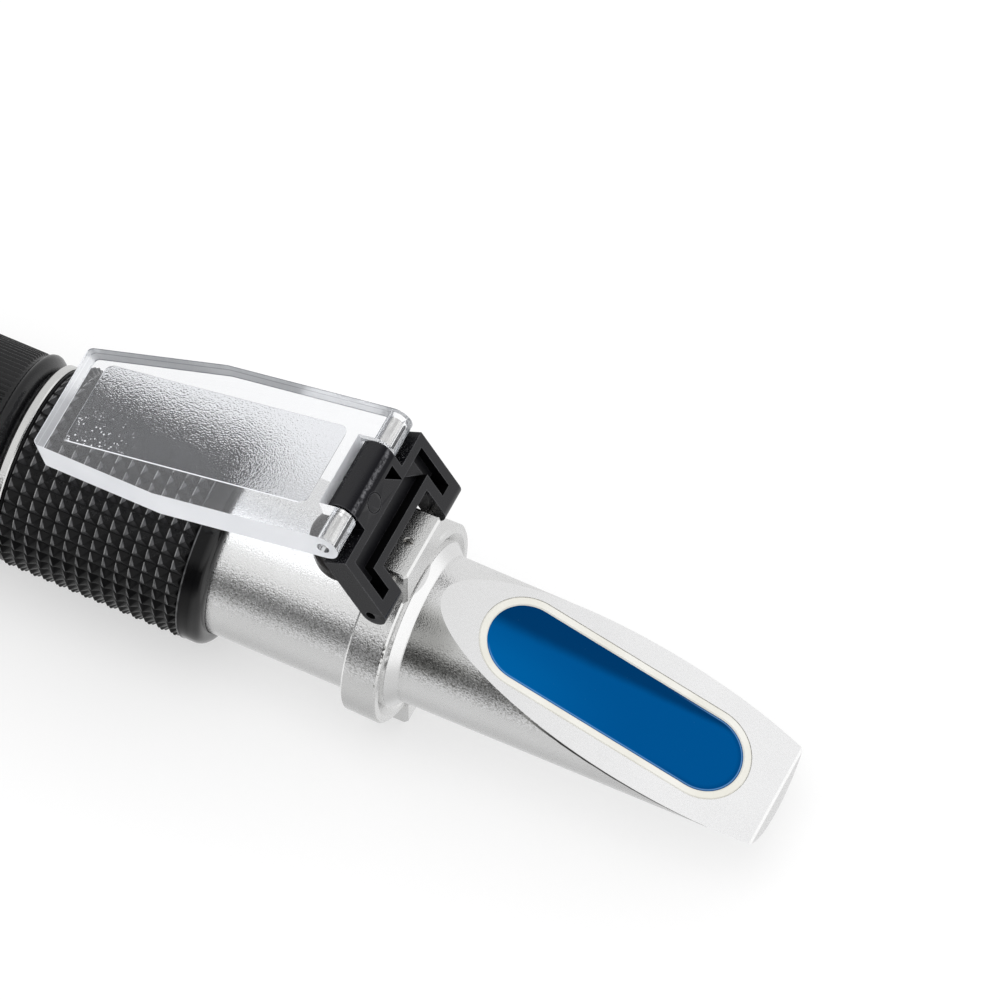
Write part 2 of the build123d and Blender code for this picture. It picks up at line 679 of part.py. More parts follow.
finish(grip_sleeve, "grip_sleeve")

with BuildPart() as lock_ring:
    with BuildSketch(cross_plane(40.6)):
        Circle(16.0)
        Circle(TUBE_R + 0.02, mode=Mode.SUBTRACT)
    extrude(amount=1.42)
    # both outer rims
    chamfer(lock_ring.edges().filter_by(GeomType.CIRCLE).sort_by(SortBy.RADIUS)[-2:], 0.2)
finish(lock_ring, "lock_ring")

# ---------------------------------------------------------------- ocular
OCULAR_X0, OCULAR_X1 = 15.0, 41.0
OCULAR_R = REAR_BORE - 0.05
OCULAR_BORE = 9.7
OCULAR_LENS_R = OCULAR_BORE - 0.04
X_OCULAR_LIP = 40.2
DOME_RIM = 9.6            # height at which the rear dome of each ocular lens ends

with BuildPart() as ocular_barrel:
    with BuildSketch(Plane.XZ):
        with BuildLine():
            Polyline(
                (OCULAR_X0, OCULAR_BORE), (OCULAR_X0, OCULAR_R), (OCULAR_X1, OCULAR_R),
                (OCULAR_X1, 8.6), (X_OCULAR_LIP, 8.6), (X_OCULAR_LIP, OCULAR_BORE), close=True,
            )
        make_face()
    revolve(axis=Axis.X)
    with BuildSketch(Plane.XY.offset(9)):
        with Locations((FOCUS_PIN_X, 0)):
            Circle(FOCUS_PIN_R + 0.01)
    extrude(amount=3, mode=Mode.SUBTRACT)
finish(ocular_barrel, "ocular_barrel")

upright_pin("focus_pin", FOCUS_PIN_X, z=9.8, radius=FOCUS_PIN_R, length=3.6)

with BuildPart() as field_lens:
    with BuildSketch(Plane.XZ):
        with BuildLine():
            front, vertex, curve_r = 40.1, 36.4, -24.0
            rim = dome(vertex, curve_r, DOME_RIM)
            Polyline((front, 0), (front, OCULAR_LENS_R), (38.5, OCULAR_LENS_R), rim)
            ThreePointArc(rim, dome(vertex, curve_r, 5.0), (vertex, 0))
            Line((vertex, 0), (front, 0))
        make_face()
    revolve(axis=Axis.X)
finish(field_lens, "field_lens")

plain_ring("lens_spacer", x=21.6, length=16.4, outer=OCULAR_LENS_R, bore=8.7)

with BuildPart() as eye_lens:
    with BuildSketch(Plane.XZ):
        with BuildLine():
            rear, front, curve_r = 16.6, 22.4, 34.0
            front_rim = dome(front, curve_r, 9.0)
            rear_rim = dome(rear, -curve_r, DOME_RIM)
            Line((rear, 0), (front, 0))
            ThreePointArc((front, 0), dome(front, curve_r, 5.0), front_rim)
            Polyline(front_rim, (21.0, OCULAR_LENS_R), (18.2, OCULAR_LENS_R), rear_rim)
            ThreePointArc(rear_rim, dome(rear, -curve_r, 5.0), (rear, 0))
        make_face()
    revolve(axis=Axis.X)
finish(eye_lens, "eye_lens")

turned_piece("ocular_retainer", (
    (15.3, 8.4), (15.3, OCULAR_LENS_R), (17.9, OCULAR_LENS_R), (17.3, 8.4),
))

with BuildPart() as focus_o_ring:
    with BuildSketch(Plane.XZ):
        with Locations((O_RING_X, 12.45)):
            Circle(0.34)
    revolve(axis=Axis.X)
finish(focus_o_ring, "focus_o_ring")

# ---------------------------------------------------------------- focusing ring and eyecup
CORE_X0, CORE_X1 = 6.0, 39.8
CORE_STEP_X = 9.5         # the core's step, which the sleeve and the eyecup meet
CORE_NECK_R, CORE_R = 13.6, 14.6
CORE_BORE = SPG_R + 0.05
SLEEVE_X0 = CORE_STEP_X + 0.05
SLEEVE_BORE = CORE_R + 0.02
CUP_BORE = CORE_NECK_R + 0.02
CUP_SEAT_X = CORE_X0 - 0.02

groove_span = 2 * (FOCUS_TURN + 14)           # degrees of groove
groove_len = FOCUS_LEAD * groove_span / 360
with BuildPart() as helix_cut:
    # rectangular cutter along the helix, its mid travel at the focus pin
    with BuildLine() as track:
        Helix(pitch=FOCUS_LEAD, height=groove_len, radius=13.1,
              center=(FOCUS_PIN_X - groove_len / 2, 0, 0), direction=(1, 0, 0), lefthand=True)
    start = track.line @ 0
    outward = Vector(0, start.Y, start.Z).normalized()
    with BuildSketch(Plane(origin=start, x_dir=outward, z_dir=track.line % 0)):
        Rectangle(1.0, 1.96)
    sweep(is_frenet=True)

with BuildPart() as focus_core:
    with BuildSketch(Plane.XZ):
        with BuildLine():
            Polyline(
                (CORE_X0, 9.5), (CORE_X0, CORE_NECK_R), (CORE_STEP_X, CORE_NECK_R),
                (CORE_STEP_X, CORE_R), (CORE_X1, CORE_R), (CORE_X1, CORE_BORE),
                (22.4, CORE_BORE), (22.4, 11.3), (12.0, 11.3), (12.0, 9.5), close=True,
            )
        make_face()
    revolve(axis=Axis.X)
    add(helix_cut.part.rotate(Axis.X, groove_span / 2), mode=Mode.SUBTRACT)
finish(focus_core, "focus_core")

turned_piece("focus_sleeve", (
    (SLEEVE_X0, SLEEVE_BORE), (SLEEVE_X0, 15.8), (10.0, 16.2), (37.4, 16.2), (37.8, 16.6),
    (39.4, 16.6), (CORE_X1, 16.2), (CORE_X1, SLEEVE_BORE),
))
turned_piece("eyecup", (
    (0, 12.0), (0, 13.8), (0.8, 14.6), (4.5, 14.9), (6.5, 15.8), (CORE_STEP_X, 15.8),
    (CORE_STEP_X, CUP_BORE), (CUP_SEAT_X, CUP_BORE), (CUP_SEAT_X, 12.0),
))
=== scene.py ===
"""A hand-held optical instrument with a hinged daylight plate, lying along the X axis.

The eyepiece is at the -X end, the prism nose with its sloping bevel at the +X end. The optical
axis is the X axis, Z is up and the camera looks from the -Y side, which is called near here.
Lengths named as millimetres are scaled by MM; lengths inside the materials are in metres.
"""
import math

import bmesh
import bpy
from mathutils import Matrix, Vector


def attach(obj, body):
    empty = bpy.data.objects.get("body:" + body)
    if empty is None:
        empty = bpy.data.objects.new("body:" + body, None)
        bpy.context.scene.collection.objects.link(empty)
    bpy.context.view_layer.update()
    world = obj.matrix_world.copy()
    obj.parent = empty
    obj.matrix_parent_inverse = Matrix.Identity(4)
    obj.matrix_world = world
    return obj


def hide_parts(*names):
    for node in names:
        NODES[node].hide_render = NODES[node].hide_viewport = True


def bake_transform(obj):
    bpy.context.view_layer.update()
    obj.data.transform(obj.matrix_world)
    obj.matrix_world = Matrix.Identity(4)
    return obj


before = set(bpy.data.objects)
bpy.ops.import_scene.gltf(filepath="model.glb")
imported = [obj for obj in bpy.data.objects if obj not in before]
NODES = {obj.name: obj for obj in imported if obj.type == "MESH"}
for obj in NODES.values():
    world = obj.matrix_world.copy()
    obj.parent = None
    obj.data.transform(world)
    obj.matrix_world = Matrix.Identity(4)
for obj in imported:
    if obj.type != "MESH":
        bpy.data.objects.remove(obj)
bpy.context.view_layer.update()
MM = 0.001

# Knurled part of the grip, in millimetres
KNURL_X0 = 42.52
KNURL_X1 = 73.10
KNURL_ROWS = 14
KNURL_AROUND = 44
KNURL_START = math.radians(0.3)  # angle of the first pyramid, from -Y towards +Z
GROOVE_R = 15.28
CREST_R = 16.16

# Nose bevel: it falls towards +X from 12.62 mm up, BEVEL_RUN before its origin
BEVEL_TILT = math.radians(18.5)
BEVEL_RUN = 31.0
BEVEL_NORMAL = (math.sin(BEVEL_TILT), 0.0, math.cos(BEVEL_TILT))
BEVEL_DOWN = (math.cos(BEVEL_TILT), 0.0, -math.sin(BEVEL_TILT))
BEVEL_ORIGIN = (0.140, 0.0, (12.62 - math.tan(BEVEL_TILT) * BEVEL_RUN) * MM)

# Open plate: it runs from the hinge towards -X, falling slightly
PLATE_TILT = math.radians(14.7)
HINGE = (0.09705, 0.0, 0.0336)
PLATE_ALONG = (-math.cos(PLATE_TILT), 0.0, -math.sin(PLATE_TILT))
PLATE_NORMAL = (-math.sin(PLATE_TILT), 0.0, math.cos(PLATE_TILT))

# Bracket: it rises from its pivot, leaning towards -X, with its front facing +X
BRACKET_LEAN = math.radians(31.0)
PIVOT = (0.10507, 0.0, 0.02026)
BRACKET_UP = (-math.sin(BRACKET_LEAN), 0.0, math.cos(BRACKET_LEAN))
BRACKET_FRONT = (math.cos(BRACKET_LEAN), 0.0, math.sin(BRACKET_LEAN))


# ------------------------------------------------------------------ node graphs
class Value:
    """An output socket of a graph; arithmetic on it adds math nodes."""

    def __init__(self, graph, socket):
        self.graph = graph
        self.socket = socket

    def __add__(self, other):
        return self.graph.math("ADD", self, other)

    def __radd__(self, other):
        return self.graph.math("ADD", other, self)

    def __sub__(self, other):
        return self.graph.math("SUBTRACT", self, other)

    def __rsub__(self, other):
        return self.graph.math("SUBTRACT", other, self)

    def __mul__(self, other):
        return self.graph.math("MULTIPLY", self, other)

    def __rmul__(self, other):
        return self.graph.math("MULTIPLY", other, self)

    def __truediv__(self, other):
        return self.graph.math("DIVIDE", self, other)

    def __abs__(self):
        return self.graph.math("ABSOLUTE", self)


class Graph:
    """Builds the node tree of a material or a world."""

    SURFACE_INPUTS = {
        "color": "Base Color", "metallic": "Metallic", "rough": "Roughness", "ior": "IOR",
        "transmission": "Transmission Weight", "spec": "Specular IOR Level",
        "normal": "Normal", "coat": "Coat Weight", "coat_rough": "Coat Roughness",
        "emission": "Emission Color", "emit": "Emission Strength",
    }

    def __init__(self, owner, output_kind="OutputMaterial"):
        owner.use_nodes = True
        self.owner = owner
        self.tree = owner.node_tree
        self.tree.nodes.clear()
        self.output = self.node(output_kind)
        self.coords = self.node("TexCoord")
        self.place = Value(self, self.coords.outputs["Object"])

    def set(self, socket, value):
        if isinstance(value, Value):
            self.tree.links.new(value.socket, socket)
        elif isinstance(value, tuple) and socket.type == "RGBA" and len(value) == 3:
            socket.default_value = (*value, 1.0)
        else:
            socket.default_value = value

    def node(self, kind, inputs=None, **props):
        node = self.tree.nodes.new("ShaderNode" + kind)
        for key, value in props.items():
            setattr(node, key, value)
        for key, value in (inputs or {}).items():
            self.set(node.inputs[key], value)
        return node

    def add(self, kind, inputs=None, output=0, **props):
        """Adds a node and returns one of its outputs."""
        return Value(self, self.node(kind, inputs, **props).outputs[output])

    def math(self, operation, first, second=0.0):
        return self.add("Math", {0: first, 1: second, 2: 0.0}, operation=operation)

    def max(self, first, second):
        return self.math("MAXIMUM", first, second)

    def length(self, first, second):
        return self.math("SQRT", first * first + second * second)

    def vector(self, operation, first, second, output=0):
        return self.add("VectorMath", {0: first, 1: second}, output, operation=operation)

    def noise(self, scale, detail=2.0, rough=0.5, place=None):
        inputs = {"Vector": place or self.place, "Scale": scale, "Detail": detail,
                  "Roughness": rough}
        return self.add("TexNoise", inputs, "Fac")

    def voronoi(self, scale):
        return self.add("TexVoronoi", {"Vector": self.place, "Scale": scale}, "Distance")

    def ramp(self, value, over=(0.3, 0.7), to=(0.0, 1.0), smooth=False):
        """Maps the span `over` onto `to`, clamped. The default span suits a noise."""
        inputs = dict(enumerate((value, *over, *to)))
        kind = "SMOOTHSTEP" if smooth else "LINEAR"
        return self.add("MapRange", inputs, clamp=True, interpolation_type=kind)

    def fall(self, value, over, smooth=False):
        return self.ramp(value, over=over, to=(1.0, 0.0), smooth=smooth)

    def window(self, value, rise, fall, smooth=False):
        """1 between the two spans, 0 outside them."""
        return self.ramp(value, over=rise, smooth=smooth) * self.fall(value, fall, smooth)

    def mix(self, amount, first, second):
        inputs = {0: amount, 6: first, 7: second}
        return self.add("Mix", inputs, output=2, data_type="RGBA")

    def mix_shader(self, amount, first, second):
        return self.add("MixShader", {0: amount, 1: first, 2: second})

    def bump(self, height, strength, depth):
        return self.add("Bump", {"Height": height, "Strength": strength, "Distance": depth})

    def xyz(self, vector=None):
        node = self.node("SeparateXYZ", {0: vector or self.place})
        return [Value(self, socket) for socket in node.outputs]

    def normal(self, kind="Normal"):
        return self.add("NewGeometry", output=kind)

    def distance(self, direction, origin):
        """Distance along a direction from an origin, in metres."""
        offset = self.vector("SUBTRACT", self.place, origin)
        return self.vector("DOT_PRODUCT", offset, direction, "Value")

    def facing(self, direction):
        """Cosine between the flat face's normal and a direction."""
        return self.vector("DOT_PRODUCT", self.normal("True Normal"), direction, "Value")

    def radial(self):
        """How far the face's normal points straight away from the optical axis."""
        _, y, z = self.xyz()
        _, normal_y, normal_z = self.xyz(self.normal("True Normal"))
        radius = self.length(y, z)
        return (normal_y * y + normal_z * z) / radius

    def angle(self):
        """Angle about the optical axis from +Z towards -Y, in degrees."""
        _, y, z = self.xyz()
        return self.math("ARCTAN2", y * -1.0, z) * (180.0 / math.pi)

    def edge_mask(self, radius):
        """1 on edges, 0 on flats."""
        rounded = self.add("Bevel", {"Radius": radius}, samples=4)
        cosine = self.vector("DOT_PRODUCT", rounded, self.normal(), "Value")
        return self.ramp(cosine, over=(0.98, 0.88))

    def bsdf(self, **settings):
        inputs = {self.SURFACE_INPUTS[key]: value for key, value in settings.items()}
        return self.add("BsdfPrincipled", inputs)

    def finish(self, surface):
        self.set(self.output.inputs["Surface"], surface)
        return self.owner


def material(name):
    return Graph(bpy.data.materials.new(name))


def light_pass(mat, surface, tint=(0.96, 0.97, 0.98)):
    """Lets light through a clear solid, so that what lies behind it is lit."""
    rays = mat.node("LightPath").outputs
    clear = mat.add("BsdfTransparent", {0: tint})
    through = mat.max(Value(mat, rays["Is Shadow Ray"]), Value(mat, rays["Is Diffuse Ray"]))
    return mat.mix_shader(through, surface, clear)


# ------------------------------------------------------------------ metals
def on_bevel(mat):
    return mat.ramp(mat.facing(BEVEL_NORMAL), over=(0.94, 0.98))


def on_round(mat):
    return mat.ramp(mat.radial(), over=(0.95, 0.985))


def darken(tone, mask, amount):
    return tone * (1.0 - mask * amount)


def aluminium(name, base, rough=0.28, grain=4300.0, bump=1.0, depth=0.00006, speck=0.05,
              shoulder_painted_tone=1.0, extra=None, nose=False):
    """Bead-blasted satin metal: fine bright and dark grains, patchy tone, and painted light and
    shade on the near shoulder of round parts.
    """
    mat = material(name)
    fine = mat.noise(scale=grain, detail=1.0)
    coarse = mat.noise(scale=grain * 0.55, detail=1.0)
    patches = mat.noise(scale=90.0, detail=3.0, rough=0.55)
    height = fine * 0.8 + coarse * 0.2
    tone = mat.ramp(height, over=(0.32, 0.68),
                    to=(base * (1 - speck), min(1.0, base * (1 + speck))))
    if nose:
        # the bevel is blasted finer, and the cone in front of the flange is turned
        x = mat.xyz()[0]
        cone = mat.window(x, rise=(0.10705, 0.10715), fall=(0.10885, 0.1090))
        bevel = on_bevel(mat)
        calm = mat.max(cone * 0.85, bevel * 0.5)
        grainy = 1.0 - calm
        tone = tone * grainy + calm * base
        height = height * grainy
    # painted light and shade: on a band of the round parts' near shoulder, set by its angle from
    # the top, the grains are painted brighter and darker and the tone is scaled by the shoulder
    # tone argument
    painted_shoulder = mat.window(mat.angle(), rise=(38.0, 50.0), fall=(60.0, 76.0), smooth=True)
    painted_shoulder = painted_shoulder * on_round(mat)
    shoulder_glints = mat.ramp(mat.noise(scale=2900.0, detail=1.0), over=(0.36, 0.64), to=(-0.5, 0.62))
    tone = tone * (1.0 + painted_shoulder * (shoulder_glints + (shoulder_painted_tone - 1.0)))
    tone = mat.math("MINIMUM", tone, 0.95)
    tone = tone * mat.ramp(patches, to=(0.97, 1.0))
    if extra:
        tone = extra(mat, tone)
    # darker parts are slightly warmer
    blue = tone * mat.ramp(tone, over=(0.4, 0.9), to=(0.97, 1.004))
    colour = mat.add("CombineColor", {0: tone, 1: tone * 0.999, 2: blue})
    return mat.finish(mat.bsdf(
        color=colour, metallic=1.0, rough=mat.ramp(fine, to=(rough - 0.04, rough + 0.05)),
        normal=mat.bump(height, strength=bump, depth=depth)))


def nose_tone(mat, tone):
    """Painted highlight on the bevel, brighter towards the tip; painted shade on the round part;
    a thin painted shadow line just under the bevel's edges.
    """
    x, y, _ = mat.xyz()
    bevel = on_bevel(mat)
    # painted highlight: the bevel grows brighter towards the tip
    tip_highlight = mat.ramp(x, over=(0.112, 0.150), to=(1.02, 1.17))
    tone = tone * (1.0 + bevel * (tip_highlight - 1.0))
    tone = mat.math("MINIMUM", tone, 0.97)
    # painted shade: darker shoulder close in front of the flange
    angle = mat.angle()
    rounded = on_round(mat)
    painted_shoulder = mat.window(angle, rise=(4.0, 26.0), fall=(54.0, 68.0), smooth=True)
    close = mat.ramp(x, over=(0.1085, 0.1092)) * mat.fall(x, over=(0.1120, 0.1225), smooth=True)
    tone = darken(tone, painted_shoulder * close * rounded, amount=0.55)
    # painted shade: a narrow darker streak along the whole round part
    painted_streak = mat.window(angle, rise=(40.0, 48.0), fall=(52.0, 60.0), smooth=True)
    tone = darken(tone, painted_streak * rounded, amount=0.28)
    # a painted shadow line just under the bevel's edges
    depth = mat.distance(BEVEL_NORMAL, BEVEL_ORIGIN)
    under = mat.window(depth, rise=(-0.00058, -0.00044), fall=(-0.00013, -0.00007))
    along = mat.window(x, rise=(0.124, 0.136), fall=(0.158, 0.168), smooth=True)
    side = mat.ramp(abs(y), over=(0.0085, 0.0095))
    return darken(tone, under * along * side, amount=0.97)


def collar_tone(mat, tone):
    """A few dark chips on the ring's front edge, and painted shade on the hinge block's top,
    darker towards the eyepiece end.
    """
    x, _, z = mat.xyz()
    edge = mat.fall(abs(x - 0.10692), over=(0.00016, 0.00024))
    reach = mat.window(mat.angle(), rise=(46.0, 49.0), fall=(71.0, 74.0))
    chips = mat.ramp(mat.noise(scale=650.0, detail=3.0, rough=0.7), over=(0.50, 0.54))
    chipped = edge * reach * chips
    # painted shade on the hinge block's flat top
    top = mat.ramp(mat.facing((0.0, 0.0, 1.0)), over=(0.96, 0.99))
    top = top * mat.ramp(z, over=(0.0162, 0.0166))
    painted_top_shade = mat.ramp(x, over=(0.1000, 0.1066), to=(0.26, 0.06), smooth=True)
    tone = darken(tone, top, amount=painted_top_shade)
    return darken(tone, chipped, amount=0.93)


def steel():
    """Bright steel, its grain stretched along Y."""
    mat = material("steel_pin")
    stretched = mat.add("Mapping", {0: mat.place, "Scale": (1, 0.06, 1)})
    grain = mat.noise(scale=5000.0, detail=2.0, rough=0.6, place=stretched)
    colour = mat.mix(mat.ramp(grain, over=(0.35, 0.65)), (0.62, 0.61, 0.59), (0.75, 0.74, 0.72))
    return mat.finish(mat.bsdf(
        color=colour, metallic=1.0, rough=mat.ramp(grain, to=(0.16, 0.28)),
        normal=mat.bump(grain, strength=0.1, depth=0.00003)))


def grained_metal(name, dark, light, rough, metallic=1.0, scale=2500.0, bump=None):
    mat = material(name)
    grain = mat.noise(scale=scale, detail=3.0)
    surface = {"color": mat.mix(grain, dark, light), "metallic": metallic,
               "rough": mat.ramp(grain, to=rough)}
    if bump:
        surface["normal"] = mat.bump(grain, strength=bump, depth=0.00003)
    return mat.finish(mat.bsdf(**surface))


# ------------------------------------------------------------------ rubber and plastic
def rubber(name, dark, light, rough, bump, spec=0.5, scale=1800.0):
    mat = material(name)
    grain = mat.noise(scale=scale, detail=4.0, rough=0.6)
    patches = mat.noise(scale=160.0, detail=3.0, rough=0.55)
    colour = mat.mix((grain + patches) * 0.5, dark, light)
    gloss = mat.ramp(grain, to=(rough - 0.06, rough + 0.08))
    gloss = gloss + mat.ramp(patches, over=(0.35, 0.65), to=(-0.03, 0.04))
    return mat.finish(mat.bsdf(color=colour, rough=gloss, spec=spec,
                               normal=mat.bump(grain, strength=bump, depth=0.00005)))


def grip_rubber():
    """Black moulded rubber with painted light on the pyramids' eyepiece-side faces and on the
    faces that look around the grip.
    """
    mat = material("grip_rubber")
    grain = mat.noise(scale=1800.0, detail=3.0, rough=0.6)
    patches = mat.noise(scale=160.0, detail=3.0, rough=0.55)
    x, y, z = mat.xyz()
    radius = mat.length(y, z)
    around_y = (z * -1.0) / radius
    around_z = y / radius
    normal_x, normal_y, normal_z = mat.xyz(mat.normal())
    knurl = mat.window(x, rise=(KNURL_X0 * MM, (KNURL_X0 + 0.05) * MM),
                       fall=((KNURL_X1 - 0.05) * MM, KNURL_X1 * MM))
    # painted light: pyramid faces towards the eyepiece, and those that face around the grip
    back = mat.ramp(normal_x, over=(-0.30, -0.60), smooth=True) * knurl
    sideways = normal_y * around_y + normal_z * around_z
    sideways = mat.ramp(sideways, over=(0.30, 0.60), smooth=True) * knurl
    # painted highlight: light broken strips at the foot of the rows, on the upper half
    pitch = (KNURL_X1 - KNURL_X0) / KNURL_ROWS * MM
    in_row = mat.math("FRACT", (KNURL_X1 * MM - x) / pitch)
    groove_highlight = mat.ramp(in_row, over=(0.90, 0.945)) * mat.fall(
        radius, over=((GROOVE_R + 0.06) * MM, (GROOVE_R + 0.22) * MM))
    upper = mat.ramp(z / radius, over=(0.05, 0.45), smooth=True)
    groove_highlight = groove_highlight * upper * knurl
    turn = mat.math("ARCTAN2", z, y * -1.0) - KNURL_START
    in_column = mat.math("FRACT", turn * (KNURL_AROUND / (2 * math.pi)))
    broken = mat.window(in_column, rise=(0.10, 0.22), fall=(0.80, 0.92))
    groove_highlight = groove_highlight * (broken * mat.ramp(mat.noise(scale=420.0), over=(0.35, 0.65), to=(0.45, 1.0)))

    colour = mat.mix((grain + patches) * 0.5, (0.0015, 0.0015, 0.0017), (0.005, 0.005, 0.0055))
    # painted light: lighter colours for the sideways faces, and brighter still for the
    # eyepiece-side faces
    lit_side_colour = mat.mix(patches, (0.026, 0.026, 0.028), (0.036, 0.036, 0.038))
    colour = mat.mix(sideways, colour, lit_side_colour)
    lit_back_colour = mat.mix(grain, (0.10, 0.10, 0.104), (0.18, 0.18, 0.186))
    colour = mat.mix(back, colour, lit_back_colour)
    colour = mat.mix(groove_highlight * 0.9, colour, (0.42, 0.42, 0.42))
    rough = mat.ramp(grain, to=(0.24, 0.34))
    rough = rough + mat.ramp(patches, over=(0.35, 0.65), to=(-0.03, 0.04))
    # smoother outside the knurling
    rough = rough - (1.0 - knurl) * 0.12
    # the front bead: a painted highlight on its crest, a dull flat and a glossy rounded end
    crest_highlight = mat.fall(abs(x - 73.40 * MM), over=(0.06 * MM, 0.16 * MM))
    crest_highlight = crest_highlight * mat.ramp(mat.noise(scale=500.0), over=(0.35, 0.6), to=(0.3, 1.0))
    colour = mat.mix(crest_highlight * 0.8, colour, (0.16, 0.16, 0.165))
    bead = mat.ramp(x, over=(75.2 * MM, 76.0 * MM), to=(0.17, 0.50))
    return mat.finish(mat.bsdf(
        color=colour, rough=rough, spec=knurl * 0.17 + (1.0 - knurl) * bead,
        normal=mat.bump(grain, strength=0.18, depth=0.00004)))


def barrel_wear_and_sheen(mat, colour, spec):
    """A scuffed line where the hinge barrel meets the neck, and painted sheen and shade on the
    barrel, whose specular level follows the normal's lean.
    """
    height = mat.distance(BRACKET_UP, PIVOT)
    forward = mat.distance(BRACKET_FRONT, PIVOT)
    line = mat.fall(abs(height - 0.01615), over=(0.00012, 0.00055))
    front = mat.ramp(forward, over=(0.0020, 0.0024))
    scuff = mat.ramp(mat.noise(scale=1900.0, detail=3.0, rough=0.7),
                     over=(0.42, 0.62), to=(0.15, 1.0))
    colour = mat.mix(line * front * scuff, colour, (0.16, 0.16, 0.17))
    # the normal's lean from +Z towards +X, in degrees
    normal_x, _, normal_z = mat.xyz(mat.normal())
    lean = mat.math("ARCTAN2", normal_x, normal_z) * (180.0 / math.pi)
    # painted sheen: the barrel's specular level is raised where the normal leans near +Z and
    # lowered elsewhere
    sheen_band = mat.window(lean, rise=(-62.0, -8.0), fall=(2.0, 34.0), smooth=True)
    # only within the barrel's radius of the hinge line
    flattened = mat.vector("MULTIPLY", mat.place, (1.0, 0.0, 1.0))
    from_hinge = mat.vector("DISTANCE", flattened, HINGE, "Value")
    barrel = mat.fall(from_hinge, over=(0.00268, 0.00275))
    gain = 0.2 + sheen_band * 1.4
    return colour, spec * (1.0 + barrel * (gain - 1.0))


def plastic(name, dark, light, rough, spec, barrel=False):
    """Moulded black plastic with painted highlights along its edges and painted shade in its
    corners.
    """
    mat = material(name)
    grain = mat.noise(scale=2200.0, detail=3.0, rough=0.6)
    patches = mat.noise(scale=150.0, detail=3.0, rough=0.55)
    colour = mat.mix((grain + patches) * 0.5, dark, light)
    # painted highlight: thin lighter lines along the edges
    edge_highlight = mat.edge_mask(radius=0.00030) * mat.ramp(
        mat.noise(scale=700.0), over=(0.35, 0.6), to=(0.4, 1.0))
    colour = mat.mix(edge_highlight, colour, (0.085, 0.085, 0.092))
    gloss = mat.ramp(grain, to=(rough - 0.03, rough + 0.04))
    gloss = gloss + mat.ramp(patches, over=(0.35, 0.65), to=(-0.04, 0.05))
    if barrel:
        colour, spec = barrel_wear_and_sheen(mat, colour, spec)
    # painted shade: corners are darker and duller
    open_sky = mat.add("AmbientOcclusion", {"Distance": 0.0035}, "AO", samples=6)
    open_sky = mat.ramp(open_sky, over=(0.25, 0.95), to=(0.12, 1.0))
    colour = mat.mix(open_sky, (0.001, 0.001, 0.0012), colour)
    return mat.finish(mat.bsdf(color=colour, rough=gloss, spec=open_sky * spec,
                               normal=mat.bump(grain, strength=0.08, depth=0.00004)))


# ------------------------------------------------------------------ prism, seal and glass
def prism_blue():
    """Blue prism face: a painted shadow of the housing wall as a dark wedge along the far edge,
    and painted light towards the near side and the collar end.
    """
    mat = material("prism_blue")
    y = mat.xyz()[1]
    along = mat.distance(BEVEL_DOWN, BEVEL_ORIGIN)
    ripple = mat.noise(scale=420.0)
    # far edge of the lit area, where the painted wall shadow begins, rising towards the tip,
    # softer at the collar end
    bright_edge = along * 0.105 + 0.0040
    beyond = (y - bright_edge) + (ripple - 0.5) * 0.0004
    softness = mat.ramp(along, over=(-0.018, 0.018), to=(0.0018, 0.0007))
    wall_shadow = mat.ramp(beyond / softness, over=(-1.2, 0.35), smooth=True)
    # painted light: brighter towards the collar end and the near side
    collar_end = mat.fall(along, over=(-0.020, 0.006), smooth=True)
    near = mat.ramp(y, over=(-0.005, 0.002), to=(1.0, 0.25), smooth=True)
    colour = mat.mix(collar_end * near, (0.0, 0.075, 0.254), (0.0, 0.100, 0.315))
    colour = mat.mix(wall_shadow, colour, (0.0, 0.036, 0.128))
    # sparse pale dots
    dots = mat.fall(mat.voronoi(scale=520.0), over=(0.018, 0.03))
    colour = mat.mix(dots * 0.22, colour, (0.25, 0.45, 0.7))
    # distance inside the window's outline: half straight length, then end radius
    past_straight = mat.max(abs(along) - 0.01564, 0.0)
    inside = 0.00638 - mat.length(past_straight, y)
    # a shaded margin at the tip
    tip = mat.ramp(along, over=(0.006, 0.016), smooth=True)
    shade = mat.fall(inside, over=(0.0, 0.0012), smooth=True) * tip
    colour = mat.mix(shade * 0.55, colour, (0.0, 0.030, 0.115))
    # a pale line just inside the window's outline, at the tip and along the near side
    side = mat.max(tip, mat.ramp(y, over=(-0.003, -0.005)))
    rim = mat.window(inside, rise=(0.00008, 0.00014), fall=(0.00026, 0.00034))
    colour = mat.mix(rim * side * 0.55, colour, (0.16, 0.36, 0.66))
    return mat.finish(mat.bsdf(color=colour, rough=mat.ramp(ripple, to=(0.10, 0.16)),
                               spec=0.02, ior=1.2))


def seal():
    """Ivory seal with one dark dot."""
    mat = material("ivory_seal")
    grain = mat.noise(scale=1500.0, detail=3.0)
    patches = mat.noise(scale=120.0)
    colour = mat.mix(mat.ramp(patches, over=(0.35, 0.65)),
                     (0.75, 0.735, 0.67), (0.81, 0.80, 0.755))
    stain = mat.ramp(grain, over=(0.62, 0.74), to=(0.0, 0.25))
    colour = mat.mix(stain, colour, (0.62, 0.60, 0.52))
    from_dot = mat.vector("DISTANCE", mat.place, (0.15855, -0.00445, -0.00405), "Value")
    dot = mat.ramp(from_dot, over=(0.00018, 0.00028), to=(0.95, 0.0))
    colour = mat.mix(dot, colour, (0.01, 0.01, 0.01))
    return mat.finish(mat.bsdf(color=colour, rough=mat.ramp(grain, to=(0.5, 0.62)), spec=0.35,
                               normal=mat.bump(grain, strength=0.15, depth=0.00004)))


